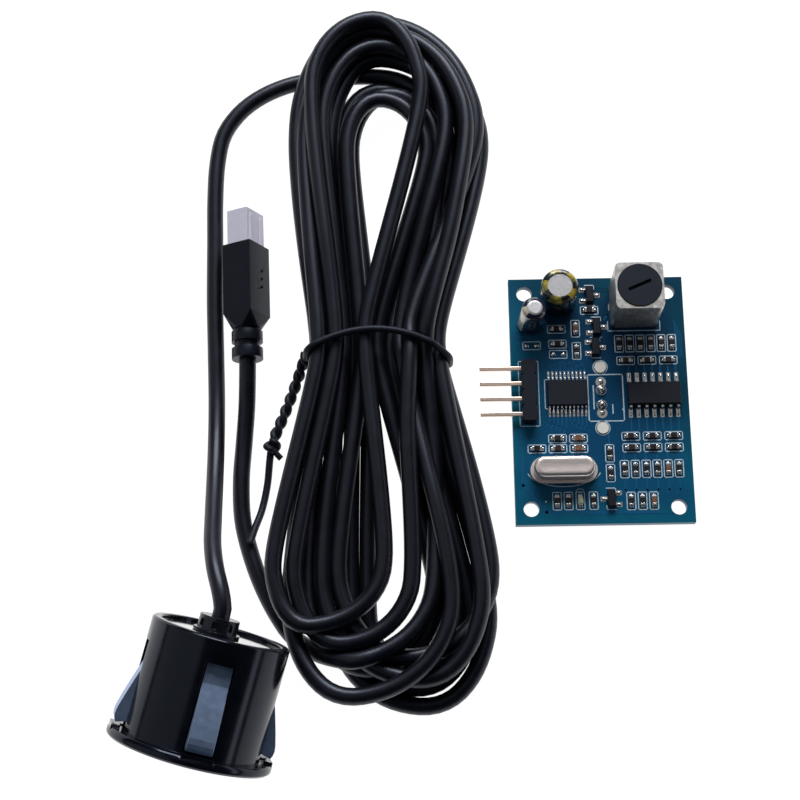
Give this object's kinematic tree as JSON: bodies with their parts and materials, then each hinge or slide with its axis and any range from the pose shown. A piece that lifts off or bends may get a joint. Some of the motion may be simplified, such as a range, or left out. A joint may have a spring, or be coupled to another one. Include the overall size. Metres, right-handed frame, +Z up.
{
  "type": "ultrasonic distance sensor",
  "caption": "Waterproof ultrasonic distance sensor: a control board, and a round snap-in probe on a long black cable tied in a hank, with a moulded plug.",
  "frame": {"origin": "on the surface that the kit lies on, under the middle of the box around the control board and the probe", "axes": "+X runs from the probe's side to the board's side, +Y from the probe's face towards its cable end, +Z up, out of the board's component side"},
  "size_m": [0.0914, 0.1325, 0.027],
  "materials": {
    "blue_board": "blue solder mask with white printed frames",
    "black_nylon": "moulded, satin",
    "gilt_pins": "flash-plated",
    "capacitor_metal": "drawn, satin",
    "black_sleeve": "shrunk sleeve with gold marks",
    "navy_sleeve": "shrunk sleeve with a cream stripe",
    "seal_rubber": "moulded",
    "tinned_wire": "tinned",
    "shield_metal": "tinned sheet",
    "ferrite": "fired, matte",
    "bobbin_plastic": "moulded",
    "enamelled_copper": "enamelled copper wire",
    "chip_epoxy": "moulded epoxy",
    "lead_metal": "tinned",
    "crystal_metal": "brushed",
    "resistor_black": "glazed",
    "capacitor_tan": "fired",
    "light_ceramic": "fired",
    "light_lens": "clear pale lens",
    "white_nylon": "moulded",
    "solder": "shiny solder",
    "black_housing": "polished moulding",
    "clip_steel": "satin, with a blue cast",
    "face_aluminium": "black coating",
    "black_rubber": "soft moulding",
    "piezo": "fired",
    "foam": "closed-cell foam",
    "black_resin": "cast resin",
    "red_wire": "insulation",
    "cable_jacket": "smooth black jacket",
    "tie_rubber": "matte",
    "plug_moulding": "satin moulding",
    "white_plug": "moulded"
  },
  "bodies": {
    "probe_and_cable": {"probe_housing": "black_housing", "transducer_cup": "face_aluminium", "isolation_ring": "black_rubber", "piezo_disc": "piezo", "damping_foam": "foam", "potting": "black_resin", "inner_wires": "red_wire", "cable_gland": "black_rubber", "cable_from_probe": "cable_jacket", "cable_hank": "cable_jacket", "cable_to_plug": "cable_jacket", "cable_tie": "tie_rubber", "plug_body": "plug_moulding", "plug_housing": "white_plug", "plug_contacts": "gilt_pins"},
    "control_board": {"circuit_board": "blue_board", "header_block": "black_nylon", "header_pins": "gilt_pins", "large_capacitor_can": "capacitor_metal", "large_capacitor_sleeve": "black_sleeve", "large_capacitor_seal": "seal_rubber", "large_capacitor_leads": "tinned_wire", "small_capacitor_can": "capacitor_metal", "small_capacitor_sleeve": "navy_sleeve", "small_capacitor_seal": "seal_rubber", "small_capacitor_leads": "tinned_wire", "transformer_shield": "shield_metal", "transformer_bobbin": "bobbin_plastic", "transformer_winding": "enamelled_copper", "transformer_pins": "tinned_wire", "microcontroller_body": "chip_epoxy", "microcontroller_leads": "lead_metal", "amplifier_body": "chip_epoxy", "amplifier_leads": "lead_metal", "transistor_bodies": "chip_epoxy", "transistor_leads": "lead_metal", "crystal_can": "crystal_metal", "crystal_base": "crystal_metal", "crystal_leads": "tinned_wire", "chip_resistors": "resistor_black", "chip_capacitors": "capacitor_tan", "chip_terminals": "lead_metal", "light_base": "light_ceramic", "light_lens": "light_lens", "socket_shell": "white_nylon", "socket_pins": "tinned_wire", "solder_joints": "solder"},
    "tuning_core": {"transformer_core": "ferrite"},
    "clip_top": {"spring_clip_top": "clip_steel"},
    "clip_right": {"spring_clip_right": "clip_steel"},
    "clip_bottom": {"spring_clip_bottom": "clip_steel"},
    "clip_left": {"spring_clip_left": "clip_steel"}
  },
  "joints": [
    {"name": "board_lift", "type": "slide", "parent": "probe_and_cable", "child": "control_board", "axis": [0, 0, 1], "range_m": [0, 0.05]},
    {"name": "core_turn", "type": "hinge", "parent": "control_board", "child": "tuning_core", "pos_m": [0.0373, 0.0352, 0.018], "axis": [0, 0, 1], "range_deg": [-360, 360]},
    {"name": "clip_top_flex", "type": "hinge", "parent": "probe_and_cable", "child": "clip_top", "pos_m": [-0.02755, -0.02432, 0.02453], "axis": [0.9395, -0.2223, -0.2607], "range_deg": [0, 6], "stiffness_Nm_per_rad": 0.4},
    {"name": "clip_right_flex", "type": "hinge", "parent": "probe_and_cable", "child": "clip_right", "pos_m": [-0.02062, -0.02378, 0.01336], "axis": [-0.1946, 0.28, -0.9401], "range_deg": [0, 6], "stiffness_Nm_per_rad": 0.4},
    {"name": "clip_bottom_flex", "type": "hinge", "parent": "probe_and_cable", "child": "clip_bottom", "pos_m": [-0.03117, -0.01911, 0.00705], "axis": [-0.9395, 0.2223, 0.2607], "range_deg": [0, 6], "stiffness_Nm_per_rad": 0.4},
    {"name": "clip_left_flex", "type": "hinge", "parent": "probe_and_cable", "child": "clip_left", "pos_m": [-0.0381, -0.01965, 0.01821], "axis": [0.1946, -0.28, 0.9401], "range_deg": [0, 6], "stiffness_Nm_per_rad": 0.4}
  ]
}
